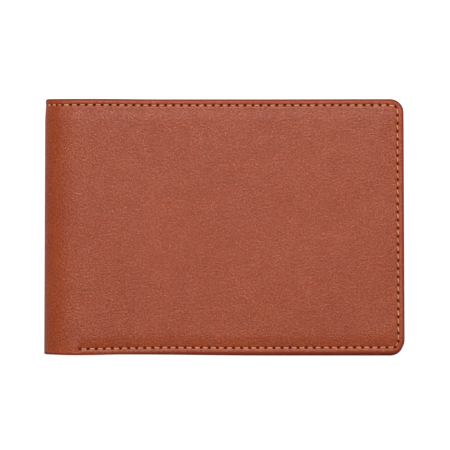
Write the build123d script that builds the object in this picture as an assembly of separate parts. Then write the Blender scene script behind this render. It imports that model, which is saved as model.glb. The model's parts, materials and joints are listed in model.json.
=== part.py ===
from build123d import *
import os
from math import atan2, cos, degrees, hypot, pi, radians, sin

# A leather bifold wallet, lying closed on a table with its fold at -X, its free edge at +X
# and the mouth of the bill compartment at +Y. The origin is under the middle of the wallet.
# Millimetres. The rear half lies on the table and the front half lies on it, face up.
# The shell, its lining and the inner wall are each one bent sheet on the real wallet. Here
# each is cut into a rear part, a fold strip and a front part, so that the wallet can open.

# Driving dimensions of the closed wallet.
closed_width = 116.0  # X, from the outside of the fold to the free edge
closed_height = 82.6  # Y, from the bottom edge to the mouth of the bill compartment
front_hem_rise = 0.75  # the front half's bottom edge rises this much towards its free edge
corner_radius = 4.3  # outside corners of the free edge
inner_corner_radius = 2.0  # top corners of the inner wall and the slip panels

# Thickness of each layer of one half, from the outside in.
cover_thickness = 1.4
lining_thickness = 0.3
bill_gap = 0.4  # the empty bill compartment
wall_lining_thickness = 0.3
wall_thickness = 0.7
slip_panel_thickness = 0.7
card_pocket_thickness = 0.55
card_pocket_count = 3
closing_gap = 0.3  # between the two halves' inner faces

# Insets and heights of the inner layers.
layer_inset = 0.5  # linings and panels stop this far inside the cover's edge
sewn_margin = 3.5  # width of the doubled hem that closes the bill compartment
wall_drop = 4.5  # the inner wall stops this far below the cover's top edge
stack_setback = 4.5  # the pocket stack starts this far from where the bend begins
first_mouth_drop = 11.0  # the first pocket's mouth is this far below the wall's top edge
mouth_step = 11.5  # from each pocket's mouth down to the next

# Stitching.
stitch_pitch = 2.65
stitch_length = 1.6
thread_width = 0.6
thread_depth = 0.3
channel_width = 1.0  # the pressed line that the stitches lie in
seam_inset = 2.0  # from the cover's edge to the seam
seam_setback = 6.1  # the edge seams start this far from where the bend begins
panel_seam_inset = 1.5  # from a panel's own edge to its seam

# The fold strip takes the middle half of the bend, with a gap so that it turns freely.
strip_edge_angle = 45.0
strip_gap = 0.3

# Sizes worked out from those.
wall_lining_at = cover_thickness + lining_thickness + bill_gap  # depths below the outside
wall_at = wall_lining_at + wall_lining_thickness
slip_panel_at = wall_at + wall_thickness
card_pockets_at = slip_panel_at + slip_panel_thickness
half_depth = card_pockets_at + card_pocket_count * card_pocket_thickness
closed_thickness = 2 * half_depth + closing_gap
fold_radius = closed_thickness / 2
fold_x = -closed_width / 2
bend_x = fold_x + fold_radius  # the bend's centre line, where the flat halves begin
free_x = closed_width / 2
top_y = closed_height / 2
bottom_y = -closed_height / 2
wall_top_y = top_y - wall_drop
stack_x = bend_x + stack_setback
seam_x = bend_x + seam_setback
side_seam_x = free_x - seam_inset
top_seam_y = top_y - seam_inset
quarter_bend = fold_radius * pi / 2  # along the outside, from the middle of the fold
mouths = [wall_top_y - first_mouth_drop - mouth_step * i for i in range(card_pocket_count)]

# The top row is counted from stitch 0, in the middle of the fold, to the last whole stitch
# before the seam's corner. The fold strip has stitches 0 and 1.
first_half_stitch = 2
rim_length = quarter_bend + side_seam_x - bend_x
last_rim_stitch = round(rim_length / stitch_pitch - 0.5)
rim_pitch = rim_length / (last_rim_stitch + 0.5)

# The two fold lines, one below the fold and one above it. A quarter turn about each lays the
# middle of the fold flat on the table, and keeps the length of the leather's outside.
fold_line_x = bend_x - fold_radius * pi / 4
fold_line_z = fold_radius * (1 - pi / 4)


def hem_y(x, half):
    """A half's bottom edge at x."""
    rise = front_hem_rise if half == "front" else 0
    return bottom_y + rise * max(0, x - bend_x) / (free_x - bend_x)


def turned(shape, half):
    """A shape made for the rear half, turned over for the front half."""
    if half == "rear":
        return shape
    return mirror(shape, about=Plane.XY.offset(fold_radius))


def outline(half, left, top, inset, top_radius):
    """A half's flat outline from left to the free edge, its free corners rounded."""
    right = free_x - inset
    low_corner = (right, hem_y(right, half) + inset)
    high_corner = (right, top)
    start = (left, hem_y(left, half) + inset)
    face = make_face(Polyline(start, low_corner, high_corner, (left, top), close=True))
    face = fillet(face.vertices().sort_by_distance(low_corner)[0], corner_radius - inset)
    if top_radius:
        face = fillet(face.vertices().sort_by_distance(high_corner)[0], top_radius)
    return face


def bend_point(radius, angle):
    """A point on the bend in the XZ plane, angle degrees round it from the rear half."""
    turn = radians(angle)
    return (bend_x - radius * sin(turn), fold_radius - radius * cos(turn))


def bend_arc(radius, first, last):
    """An arc of the bend in the XZ plane."""
    middle = (first + last) / 2
    return ThreePointArc(*[bend_point(radius, angle) for angle in (first, middle, last)])


def strip_edge(radius, side):
    """The angle at which the strip (side 1) or the half beside it (side -1) ends."""
    return strip_edge_angle + side * degrees(strip_gap / 2 / radius)


def pulled(section, low, high):
    """A section in the XZ plane pulled along Y from low to high."""
    return extrude(Pos(0, high, 0) * (Plane.XZ * section), high - low)


def half_section(depth, thickness, right=free_x):
    """A layer's section: flat from right to the bend, then round to the fold strip."""
    outer = fold_radius - depth
    inner = outer - thickness
    last = strip_edge(outer, -1)
    return make_face(
        [
            Line((right, depth), (bend_x, depth)),
            bend_arc(outer, 0, last),
            Line(bend_point(outer, last), bend_point(inner, last)),
            bend_arc(inner, 0, last),
            Line((bend_x, depth + thickness), (right, depth + thickness)),
            Line((right, depth + thickness), (right, depth)),
        ]
    )


def arc_section(depth, thickness, first, last):
    """A piece of the bend between two angles."""
    outer = fold_radius - depth
    inner = outer - thickness
    return make_face(
        [
            bend_arc(outer, first, last),
            Line(bend_point(outer, last), bend_point(inner, last)),
            bend_arc(inner, first, last),
            Line(bend_point(inner, first), bend_point(outer, first)),
        ]
    )


def half_layer(half, depth, thickness, top, inset, top_radius):
    """One layer of a half: its flat part, trimmed to the outline, and the start of its bend."""
    whole = pulled(half_section(depth, thickness, free_x - inset), bottom_y + inset, top)
    flat_part = extrude(outline(half, bend_x, top, inset, top_radius), closed_thickness)
    bend_middle = Pos(fold_x, 0, fold_radius)
    bend_part = bend_middle * Box(2 * fold_radius, closed_height, closed_thickness)
    return whole & (flat_part + bend_part)


def fold_strip(depth, thickness, top, inset):
    """The same layer's part of the fold."""
    first = strip_edge(fold_radius - depth, 1)
    return pulled(arc_section(depth, thickness, first, 180 - first), bottom_y + inset, top)


def bar(start, end, width, depth, thickness):
    """A straight bar in plan from start to end, depth below a half's outside face."""
    (x0, y0), (x1, y1) = start, end
    place = Pos((x0 + x1) / 2, (y0 + y1) / 2, depth + thickness / 2)
    turn = Rot(0, 0, degrees(atan2(y1 - y0, x1 - x0)))
    return place * turn * Box(hypot(x1 - x0, y1 - y0), width, thickness)


def along(start, end, distance):
    """The point this far from start towards end."""
    (x0, y0), (x1, y1) = start, end
    share = distance / hypot(x1 - x0, y1 - y0)
    return (x0 + share * (x1 - x0), y0 + share * (y1 - y0))


def channel(seam, depth):
    """The pressed line under a seam, running on past the seam's ends by half its width."""
    start, end = seam
    before = along(start, end, -channel_width / 2)
    after = along(end, start, -channel_width / 2)
    return bar(before, after, channel_width, depth, thread_depth)


def stitches(seam, depth):
    """Evenly spaced stitches from one end of a seam to the other."""
    start, end = seam
    length = hypot(end[0] - start[0], end[1] - start[1])
    count = round(length / stitch_pitch)
    row = []
    for i in range(count):
        middle = (i + 0.5) * length / count
        ends = [along(start, end, middle + side * stitch_length / 2) for side in (-1, 1)]
        row.append(bar(*ends, thread_width, depth, thread_depth))
    return row


def rim_stitch(number):
    """A stitch of the top row on the rear half, counted from the middle of the fold."""
    reach = stitch_length / 2
    low, high = top_seam_y - thread_width / 2, top_seam_y + thread_width / 2
    distance = number * rim_pitch
    if distance < quarter_bend:
        middle = 90 - degrees(distance / fold_radius)
        turn = degrees(reach / fold_radius)
        return pulled(arc_section(0, thread_depth, middle - turn, middle + turn), low, high)
    x = bend_x + distance - quarter_bend
    return bar((x - reach, top_seam_y), (x + reach, top_seam_y), thread_width, 0, thread_depth)


def rim_groove(section):
    """The pressed line of the top row, along a section of the cover."""
    return pulled(section, top_seam_y - channel_width / 2, top_seam_y + channel_width / 2)


def edge_seams(half):
    """The side seam, from the top down, and the bottom seam, from the free corner."""
    corner = (side_seam_x, hem_y(side_seam_x, half) + seam_inset)
    foot = (seam_x, hem_y(seam_x, half) + seam_inset)
    return [((side_seam_x, top_seam_y), corner), (corner, foot)]


def wall_seam():
    """The seam that sews the slip panel's top edge to the inner wall."""
    y = wall_top_y - panel_seam_inset
    return ((stack_x + panel_seam_inset, y), (side_seam_x, y))


def steps(half):
    """The pocket stack seen from inside: each panel's face depth and its visible Y range,
    from the slip panel at the top to the last card pocket at the bottom."""
    edges = [wall_seam()[0][1], *mouths, edge_seams(half)[1][0][1]]
    found = []
    for i in range(card_pocket_count + 1):
        face = card_pockets_at + i * card_pocket_thickness
        found.append((face, edges[i], edges[i + 1]))
    return found


def column(x, step):
    """A vertical run of stitches at x on one step of the stack."""
    face, high, low = step
    return ((x, high), (x, low))


def panel_seams(half, number):
    """The seams seen on one panel of the stack, where 0 is the slip panel."""
    step = steps(half)[number]
    seams = [column(side_seam_x, step)]
    if number == 0:
        seams.append(wall_seam())
    else:
        seams.append(column(stack_x + panel_seam_inset, step))
    if number == card_pocket_count:
        seams.append(edge_seams(half)[1])
    return seams


def cover(half):
    """The leather outside of one half, with the pressed lines of its seams."""
    solid = half_layer(half, 0, cover_thickness, top_y, 0, corner_radius)
    solid -= rim_groove(half_section(0, thread_depth, side_seam_x + channel_width / 2))
    for seam in edge_seams(half):
        solid -= channel(seam, 0)
    return solid


def fold_cover():
    """The leather outside of the fold."""
    first = strip_edge(fold_radius, 1)
    solid = fold_strip(0, cover_thickness, top_y, 0)
    return solid - rim_groove(arc_section(0, thread_depth, first, 180 - first))


def lining(half):
    """The cloth inside the cover, which is the bill compartment's outer side."""
    top = top_y - layer_inset
    return half_layer(half, cover_thickness, lining_thickness, top, layer_inset, corner_radius)


def wall_layer(half, depth, thickness):
    """A layer of the inner wall, which stops below the cover's top edge."""
    return half_layer(half, depth, thickness, wall_top_y, layer_inset, inner_corner_radius)


def wall_lining(half):
    """The cloth on the inner wall, with the doubled hem that closes the compartment."""
    sheet = wall_layer(half, wall_lining_at, wall_lining_thickness)
    hem = outline(half, seam_x - seam_inset, wall_top_y, layer_inset, inner_corner_radius)
    open_part = Rectangle(closed_width, closed_height, align=(Align.MAX, Align.MIN))
    hem -= Pos(free_x - sewn_margin, bottom_y + sewn_margin) * open_part
    return sheet + extrude(Pos(0, 0, wall_lining_at - bill_gap) * hem, bill_gap)


def inner_wall(half):
    """The leather inner wall that carries the pockets."""
    return wall_layer(half, wall_at, wall_thickness)


def stack_panel(half, number):
    """A panel of the pocket stack, where 0 is the slip panel and the rest are card pockets."""
    top = mouths[number - 1] if number else wall_top_y
    thickness = card_pocket_thickness if number else slip_panel_thickness
    top_radius = 0 if number else inner_corner_radius
    face = steps(half)[number][0]
    solid = extrude(outline(half, stack_x, top, layer_inset, top_radius), thickness)
    solid = Pos(0, 0, face - thickness) * solid
    for seam in panel_seams(half, number):
        solid -= channel(seam, face - thread_depth)
    return solid


def rim_thread(first, last):
    """The top row's stitches between these two numbers."""
    return [rim_stitch(number) for number in range(first, last + 1)]


def edge_thread(half):
    """The thread that sews all the layers together: its stitches outside and inside."""
    rows = [stitches(seam, 0) for seam in edge_seams(half)]
    for number in range(card_pocket_count + 1):
        face = steps(half)[number][0]
        rows.append(stitches(panel_seams(half, number)[0], face - thread_depth))
    rows.append(stitches(edge_seams(half)[1], face - thread_depth))
    return sum(rows, [])


def wall_thread():
    """The thread along the top of the slip panel and the inner wall."""
    return stitches(wall_seam(), card_pockets_at - thread_depth)


def stack_thread(half):
    """The thread that sews the card pockets to the slip panel beside the fold."""
    rows = []
    for number in range(1, card_pocket_count + 1):
        face = steps(half)[number][0]
        rows.append(stitches(panel_seams(half, number)[1], face - thread_depth))
    return sum(rows, [])


def write(name, solids):
    """Write one piece, or one thread's stitches, to parts/."""
    shape = Compound(children=solids) if len(solids) > 1 else solids[0]
    export_step(shape, f"parts/{name}.step")


def write_half(half):
    """Write every piece of one half."""
    sheets = {
        "cover": cover(half),
        "lining": lining(half),
        "wall_lining": wall_lining(half),
        "inner_wall": inner_wall(half),
        "slip_panel": stack_panel(half, 0),
    }
    for number in range(1, card_pocket_count + 1):
        sheets[f"card_pocket_{number}"] = stack_panel(half, number)
    threads = {
        "rim_thread": rim_thread(first_half_stitch, last_rim_stitch),
        "edge_thread": edge_thread(half),
        "wall_thread": wall_thread(),
        "stack_thread": stack_thread(half),
    }
    for name, sheet in sheets.items():
        write(f"{half}_{name}", [turned(sheet, half)])
    for name, solids in threads.items():
        write(f"{half}_{name}", [turned(solid, half) for solid in solids])


def write_fold():
    """Write the fold strip of every sheet that goes round the fold."""
    lining_top = top_y - layer_inset
    rear_side = rim_thread(0, first_half_stitch - 1)
    front_side = [turned(stitch, "front") for stitch in rear_side[1:]]
    strips = {
        "lining": (cover_thickness, lining_thickness, lining_top, layer_inset),
        "wall_lining": (wall_lining_at, wall_lining_thickness, wall_top_y, layer_inset),
        "inner_wall": (wall_at, wall_thickness, wall_top_y, layer_inset),
    }
    write("fold_cover", [fold_cover()])
    write("fold_rim_thread", rear_side + front_side)
    for name, sizes in strips.items():
        write(f"fold_{name}", [fold_strip(*sizes)])


os.makedirs("parts", exist_ok=True)
write_half("rear")
write_half("front")
write_fold()
print("fold lines at x", round(fold_line_x, 4))
print("and z", round(fold_line_z, 4), round(closed_thickness - fold_line_z, 4))
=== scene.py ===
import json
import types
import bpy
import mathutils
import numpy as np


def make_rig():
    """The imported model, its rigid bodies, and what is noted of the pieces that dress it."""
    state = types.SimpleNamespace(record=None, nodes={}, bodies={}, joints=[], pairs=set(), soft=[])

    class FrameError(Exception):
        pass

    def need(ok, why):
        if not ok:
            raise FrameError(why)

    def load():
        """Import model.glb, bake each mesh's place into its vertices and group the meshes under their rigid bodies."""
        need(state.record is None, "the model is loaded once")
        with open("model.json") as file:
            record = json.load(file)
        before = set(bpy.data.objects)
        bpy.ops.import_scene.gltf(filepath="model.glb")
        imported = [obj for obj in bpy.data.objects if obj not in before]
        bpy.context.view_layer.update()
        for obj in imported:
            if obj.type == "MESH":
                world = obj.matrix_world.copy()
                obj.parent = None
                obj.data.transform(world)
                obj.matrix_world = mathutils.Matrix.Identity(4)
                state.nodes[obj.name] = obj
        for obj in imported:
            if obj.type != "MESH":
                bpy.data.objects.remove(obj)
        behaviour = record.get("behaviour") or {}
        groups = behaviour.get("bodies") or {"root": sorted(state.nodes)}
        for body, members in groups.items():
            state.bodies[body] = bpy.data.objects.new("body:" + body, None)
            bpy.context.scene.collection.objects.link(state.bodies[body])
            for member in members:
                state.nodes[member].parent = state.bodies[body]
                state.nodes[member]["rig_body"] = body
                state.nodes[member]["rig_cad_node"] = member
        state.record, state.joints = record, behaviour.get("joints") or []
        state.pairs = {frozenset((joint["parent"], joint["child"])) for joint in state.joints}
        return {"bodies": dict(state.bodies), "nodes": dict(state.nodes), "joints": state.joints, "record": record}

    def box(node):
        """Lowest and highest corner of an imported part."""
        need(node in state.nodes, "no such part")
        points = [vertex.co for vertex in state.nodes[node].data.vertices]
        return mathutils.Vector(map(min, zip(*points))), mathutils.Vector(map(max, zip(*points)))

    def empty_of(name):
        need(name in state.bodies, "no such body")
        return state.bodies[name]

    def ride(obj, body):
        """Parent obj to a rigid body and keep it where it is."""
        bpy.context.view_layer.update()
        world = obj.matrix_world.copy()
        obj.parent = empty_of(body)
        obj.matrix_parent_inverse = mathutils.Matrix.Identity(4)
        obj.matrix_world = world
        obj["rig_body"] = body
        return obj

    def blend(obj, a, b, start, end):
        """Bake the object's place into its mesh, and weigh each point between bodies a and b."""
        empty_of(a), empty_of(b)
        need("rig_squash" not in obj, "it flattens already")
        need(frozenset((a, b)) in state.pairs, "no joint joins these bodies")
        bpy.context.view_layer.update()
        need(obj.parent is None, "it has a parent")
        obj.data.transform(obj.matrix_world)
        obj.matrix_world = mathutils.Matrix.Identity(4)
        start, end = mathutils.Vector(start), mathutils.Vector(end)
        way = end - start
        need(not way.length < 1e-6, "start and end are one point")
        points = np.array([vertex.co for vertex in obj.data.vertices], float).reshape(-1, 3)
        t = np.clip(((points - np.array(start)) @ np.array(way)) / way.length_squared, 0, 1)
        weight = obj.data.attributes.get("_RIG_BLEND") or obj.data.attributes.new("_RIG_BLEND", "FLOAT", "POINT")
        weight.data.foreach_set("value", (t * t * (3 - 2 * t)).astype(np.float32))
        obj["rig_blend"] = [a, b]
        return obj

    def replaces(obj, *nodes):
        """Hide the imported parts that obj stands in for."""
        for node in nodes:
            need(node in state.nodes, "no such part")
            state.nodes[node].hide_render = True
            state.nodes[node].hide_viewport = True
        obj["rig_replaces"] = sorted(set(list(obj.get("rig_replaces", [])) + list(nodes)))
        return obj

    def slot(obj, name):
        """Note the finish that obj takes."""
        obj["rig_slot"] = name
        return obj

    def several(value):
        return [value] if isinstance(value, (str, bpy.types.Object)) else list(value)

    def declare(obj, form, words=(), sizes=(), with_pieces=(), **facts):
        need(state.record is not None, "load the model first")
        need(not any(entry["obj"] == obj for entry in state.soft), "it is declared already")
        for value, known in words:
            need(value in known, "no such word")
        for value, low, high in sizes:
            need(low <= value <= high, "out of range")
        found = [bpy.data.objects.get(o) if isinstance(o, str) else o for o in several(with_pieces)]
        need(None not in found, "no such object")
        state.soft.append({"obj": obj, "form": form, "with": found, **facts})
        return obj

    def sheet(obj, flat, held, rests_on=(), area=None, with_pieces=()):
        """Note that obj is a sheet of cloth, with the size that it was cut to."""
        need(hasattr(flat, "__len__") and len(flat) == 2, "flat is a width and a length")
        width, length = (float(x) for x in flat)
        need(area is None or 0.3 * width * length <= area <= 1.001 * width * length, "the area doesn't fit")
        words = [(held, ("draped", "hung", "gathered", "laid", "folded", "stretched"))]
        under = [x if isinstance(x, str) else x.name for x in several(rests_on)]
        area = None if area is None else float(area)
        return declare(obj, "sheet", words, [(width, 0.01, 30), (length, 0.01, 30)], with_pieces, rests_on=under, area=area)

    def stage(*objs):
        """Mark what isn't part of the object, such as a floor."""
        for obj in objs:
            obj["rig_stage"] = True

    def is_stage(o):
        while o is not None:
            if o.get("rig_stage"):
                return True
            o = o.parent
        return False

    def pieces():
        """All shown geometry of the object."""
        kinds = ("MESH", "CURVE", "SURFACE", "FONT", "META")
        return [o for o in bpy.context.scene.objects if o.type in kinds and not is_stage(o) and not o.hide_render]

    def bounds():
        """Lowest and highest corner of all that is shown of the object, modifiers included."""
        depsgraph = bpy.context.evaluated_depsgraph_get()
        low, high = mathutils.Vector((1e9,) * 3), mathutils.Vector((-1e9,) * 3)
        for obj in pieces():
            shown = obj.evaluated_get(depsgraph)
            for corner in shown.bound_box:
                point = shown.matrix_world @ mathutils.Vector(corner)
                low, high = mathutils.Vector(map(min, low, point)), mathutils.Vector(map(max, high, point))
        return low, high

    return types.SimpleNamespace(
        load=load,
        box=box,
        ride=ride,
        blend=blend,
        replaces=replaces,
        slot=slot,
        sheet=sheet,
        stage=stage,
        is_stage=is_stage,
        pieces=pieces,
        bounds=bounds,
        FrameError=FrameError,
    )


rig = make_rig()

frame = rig.load()

import json
from math import pi

import bmesh
import bpy
import numpy as np
from mathutils import Vector

# A closed leather bifold wallet on a pale floor, seen from straight above. Every sheet that
# goes round the fold is drawn as it would lie unfolded and is then bent, so its grain follows
# it. Sheet coordinates are in millimetres: s runs along the leather's outside from the middle
# of the fold to the free edge, y is the frame's y, and depth runs inwards from the outside.

cad_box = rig.bounds()
MM = 0.001


def node_box(name):
    """A CAD node's lowest and highest corners in millimetres."""
    return [np.array(corner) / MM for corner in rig.box(name)]


# The wallet's main sizes.
(fold_x, bottom_y, _), (free_x, top_y, closed_thickness) = [np.array(c) / MM for c in cad_box]
height = top_y - bottom_y
middle_y = (top_y + bottom_y) / 2
fold_radius = closed_thickness / 2
bend_x = fold_x + fold_radius
quarter = fold_radius * pi / 2  # s where the flat part begins
free_s = quarter + free_x - bend_x
corner_radius = 4.3
lining_corner_radius = 4.0
wall_top_radius = 2.0  # the inner wall's corner beside the mouth
wall_low_radius = 3.8
pocket_top_radius = 0.4
square_corner = 0.4  # a corner that is only just rounded


def s_of(x):
    """s of a place on the flat part."""
    return x - bend_x + quarter


# Layers: how deep each one's outer face lies, and where its edges are.
lining_at = node_box("rear_lining")[0][2]
hem_at = node_box("rear_wall_lining")[0][2]
wall_at = node_box("rear_inner_wall")[0][2]
wall_lining_at = wall_at - (hem_at - lining_at)
slip_panel_at, slip_panel_face = [corner[2] for corner in node_box("rear_slip_panel")]
pocket_boxes = [node_box(f"rear_card_pocket_{number}") for number in (1, 2, 3)]
layer_inset = node_box("rear_lining")[0][1] - bottom_y
wall_top_y = node_box("rear_inner_wall")[1][1]
stack_s = s_of(node_box("rear_slip_panel")[0][0])

# Seams.
pitch = 2.59  # from one needle hole to the next
stitch_length = 1.6
longest_share = 0.62  # a stitch is never longer than this share of its row's pitch
thread_width = 0.6
panel_seam_inset = 1.5
hem_width = 3.0
side_seam_s = s_of(node_box("rear_edge_thread")[1][0] - thread_width / 2)
bottom_seam_y = node_box("rear_edge_thread")[0][1] + thread_width / 2
foot_s = s_of(node_box("rear_edge_thread")[0][0]) - (pitch - stitch_length) / 2
top_seam_y = node_box("rear_rim_thread")[1][1] - thread_width / 2
low_corner_cut = (1.1, 1.95)  # the seam cuts the lower free corner this far along s and y
top_corner_cut = (0.5, 0.55)  # and the upper free corner this far
corner_stitch = 1.1  # the length of the stitch across the lower corner
corner_run = (0.8, -0.6)  # the seam's direction at the upper corner's hole
corner_gap = 0.1


def ramp(value, start, end):
    """0 before start, 1 after end, smooth in between."""
    share = np.clip((value - start) / (end - start), 0, 1)
    return share * share * (3 - 2 * share)


def hump(value, middle, width):
    """1 in the middle, falling smoothly to 0 on both sides."""
    return np.exp(-(((value - middle) / width) ** 2))


def waves(s, y, seed, length):
    """A random soft relief, mostly between 0 and 1, with bumps about this long."""
    draw = np.random.default_rng(seed)
    total = np.zeros(len(s))
    count = 12
    for _ in range(count):
        turn, phase = draw.uniform(0, 2 * pi, 2)
        reach = length * draw.uniform(0.7, 1.7)
        total += np.sin(2 * pi * (s * np.cos(turn) + y * np.sin(turn)) / reach + phase)
    return np.clip(0.5 + total / count, 0, 1)


# The closed wallet's soft form.
front_rise = 0.55  # the front half's bottom edge rises this much towards its free edge
rear_sag = 0.42  # and the rear half's lies this much lower
sag_share = 0.4  # after this share of the way from the fold
bottom_press = 0.55  # the bottom seam pulls the outside in this far
bottom_slope = 4.4  # and the leather slopes down to it over this much
side_press = 0.2
top_press = 0.22
press_reach = 5.0  # the side and top seams pull the leather in over this much
seam_half_width = 0.2
fold_reach = 11.0  # the fold's section is half an oval this wide, so the flat part slopes into it
dent_depth = 0.10
dent_length = 26
dent_seed = 11
dent_fade = 14  # the dents grow over this much beside the fold
sewn_squeeze = 0.36  # the sewn edges are this much thinner than the layers lying loose
squeeze_reach = 9.0  # the layers lie loose this far from a seam
seam_band = 0.5  # and are fully pressed this close to it

# The outline's small unevenness: how much wider the wallet is at the bottom than at the top on
# each side, steps along the top as (from x, to x, rise), and swells along the bottom as
# (middle x, half width, rise).
free_flare = 0.19
fold_flare = 0.17
TOP_STEPS = [(-42, -20, -0.16), (12, 50, 0.06)]
BOTTOM_SWELLS = [(-58, 5, 0.14), (-45, 7, -0.10), (-17, 17, 0.22)]


def along_bottom(s):
    """1 where the bottom edge is sewn, 0 in the fold."""
    return ramp(s, foot_s - 2.0, foot_s + 1.2)


def fold_drop(s):
    """How far the oval fold lies inside the half circle of the box."""
    sine, cosine = np.sin(turn_at(s)), np.cos(turn_at(s))
    shift = fold_reach - fold_radius
    square = (sine / fold_reach) ** 2 + (cosine / fold_radius) ** 2
    middle = shift * sine / fold_reach**2
    rest = (shift / fold_reach) ** 2 - 1
    in_arc = fold_radius - (np.sqrt(middle**2 - square * rest) - middle) / square
    across = np.clip(shift - (s - quarter), 0, shift) / fold_reach
    on_flat = fold_radius * (1 - np.sqrt(1 - across**2))
    return np.where(s < quarter, in_arc, on_flat)


def turn_at(s):
    """The angle that the sheet has turned by, from 0 on the flat part."""
    return np.maximum(quarter - s, 0) / fold_radius


def drop(s, y):
    """How far the outside lies inside the wallet's box."""
    above_seam = np.clip((y - bottom_seam_y - thread_width / 2) / bottom_slope, 0, 1)
    bottom = bottom_press * along_bottom(s) * (1 - above_seam) ** 2
    side = side_press * ramp(s, side_seam_s - press_reach, side_seam_s - seam_half_width)
    top = top_press * ramp(y, top_seam_y - press_reach, top_seam_y - seam_half_width)
    flat_part = ramp(s, quarter - 1, quarter + dent_fade)
    dents = dent_depth * waves(s, y, dent_seed, dent_length) * flat_part
    return bottom + side + top + fold_drop(s) + dents


def squeeze(s, y):
    """How much the layers are pressed together: 1 is lying loose."""
    above = ramp(y, bottom_seam_y + seam_band, bottom_seam_y + squeeze_reach)
    bottom = along_bottom(s) * (1 - above)
    side = ramp(s, side_seam_s - squeeze_reach, side_seam_s - seam_band)
    return 1 - sewn_squeeze * (1 - (1 - bottom) * (1 - side))


def settle(x, y, half):
    """A place moved by the outline's unevenness: a little wider at the bottom, with wavy edges."""
    across = np.clip((x - fold_x) / (free_x - fold_x), 0, 1)
    tilt = (middle_y - y) / (height / 2)
    x = x + tilt * (free_flare * across - fold_flare * (1 - across))
    top_wave = sum(rise * ramp(x, start, end) for start, end, rise in TOP_STEPS)
    bottom_wave = sum(rise * hump(x, middle, width) for middle, width, rise in BOTTOM_SWELLS)
    share = np.clip((x - bend_x) / (free_x - bend_x), 0, 1)
    if half == "front":
        bottom_wave = bottom_wave + front_rise * share
    else:
        bottom_wave = bottom_wave - rear_sag * ramp(share, 0, sag_share)
    high = (y - bottom_y) / height
    return x, y + high * top_wave + (1 - high) * bottom_wave


def place(half, points):
    """Sheet coordinates (s, y, depth) of one half as places in the frame, in millimetres."""
    s, y, depth = points.T
    depth = drop(s, y) + depth * squeeze(s, y)
    turn = turn_at(s)
    radius = fold_radius - depth
    x = bend_x + np.maximum(s - quarter, 0) - radius * np.sin(turn)
    z = fold_radius - radius * np.cos(turn)
    if half == "front":
        z = closed_thickness - z
    x, y = settle(x, y, half)
    return np.stack([x, y, z], axis=1)


# Stitches, each as its two ends in the sheet's plane.


def row(start, end, longest=stitch_length):
    """Evenly spaced stitches between two points, and the holes between them. A hole is its place
    and the direction of its row."""
    start, end = np.array(start, float), np.array(end, float)
    length = np.linalg.norm(end - start)
    run = (end - start) / length
    count = max(1, round(length / pitch))
    places = [start + (end - start) * i / count for i in range(count + 1)]
    reach = run * min(longest, longest_share * length / count) / 2
    middles = [(a + b) / 2 for a, b in zip(places, places[1:])]
    holes = [(*place, *run) for place in places]
    return [(m - reach, m + reach) for m in middles], holes


top_corner = (side_seam_s - top_corner_cut[0], top_seam_y - top_corner_cut[1])
side_start = (side_seam_s, top_corner[1] - corner_gap)
side_end = (side_seam_s, bottom_seam_y + low_corner_cut[1])
bottom_start = (side_seam_s - low_corner_cut[0], bottom_seam_y)
foot = (foot_s, bottom_seam_y)
rim_count = round(top_corner[0] / pitch - 0.5)
rim_pitch = top_corner[0] / (rim_count + 0.5)
rim_middles = [(number * rim_pitch, top_seam_y) for number in range(rim_count + 1)]
rim_stitches = [((s - stitch_length / 2, y), (s + stitch_length / 2, y)) for s, y in rim_middles]
last_start, last_end = rim_stitches[-1]
rim_stitches[-1] = (last_start, (last_end[0], top_seam_y - top_corner_cut[1] / 2))
rim_holes = [(s + rim_pitch / 2, y, 1, 0) for s, y in rim_middles[:-1]]
rim_holes.append((*top_corner, *corner_run))
side_stitches, side_holes = row(side_start, side_end)
side_holes = side_holes[1:]
corner_stitches, corner_holes = row(side_end, bottom_start, corner_stitch)
bottom_stitches, bottom_holes = row(bottom_start, foot)
rim_end = (rim_middles[-1][0], top_seam_y)
rim_start = (-quarter, top_seam_y)
outer_paths = [[rim_start, rim_end, top_corner, side_start, side_end, bottom_start, foot]]
outer_holes = np.array(rim_holes + side_holes + corner_holes + bottom_holes)


def distance_to(paths, points):
    """Each point's distance to the nearest of some lines in the sheet's plane."""
    nearest = np.full(len(points), np.inf)
    for path in paths:
        for start, end in zip(path, path[1:]):
            start, end = np.array(start, float), np.array(end, float)
            whole = end - start
            share = np.clip((points - start) @ whole / (whole @ whole), 0, 1)
            off = points - start - share[:, None] * whole
            nearest = np.minimum(nearest, np.linalg.norm(off, axis=1))
    return nearest


def pits(points, holes, along, across):
    """1 at each needle hole, falling to 0 within about its size along and across its row."""
    found = np.zeros(len(points))
    for hole in holes:
        place, run = hole[:2], hole[2:]
        near = np.flatnonzero(np.abs(points - place).max(axis=1) < 3 * along)
        off = points[near] - place
        far = np.hypot(off @ run / along, off @ np.array([-run[1], run[0]]) / across)
        found[near] = np.maximum(found[near], np.exp(-(far**2)))
    return found


# A sheet's outline, as rings of points at any inset, and its faces.

grid_step = 1.3  # the usual distance between a sheet's points
fold_step = 0.5  # and between its lines along the fold
fold_margin = 4  # which go on this far past the bend
beside_cut = 0.02  # the first of them lies this close to the fold's middle
CORNER_ANGLES = np.linspace(0, pi / 2, 11)[1:-1]
EDGE_ANGLES = np.linspace(0, pi, 9)[1:-1]

SIDES = {  # each side's outward direction and the direction it is followed in
    "top": ((0, 1), (1, 0)),
    "free": ((1, 0), (0, -1)),
    "bottom": ((0, -1), (-1, 0)),
    "stack": ((-1, 0), (0, 1)),
}


def lines(start, end, spacing):
    """Evenly spaced values from start to end, about this far apart."""
    return np.linspace(start, end, max(2, round(abs(end - start) / spacing) + 1))


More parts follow.
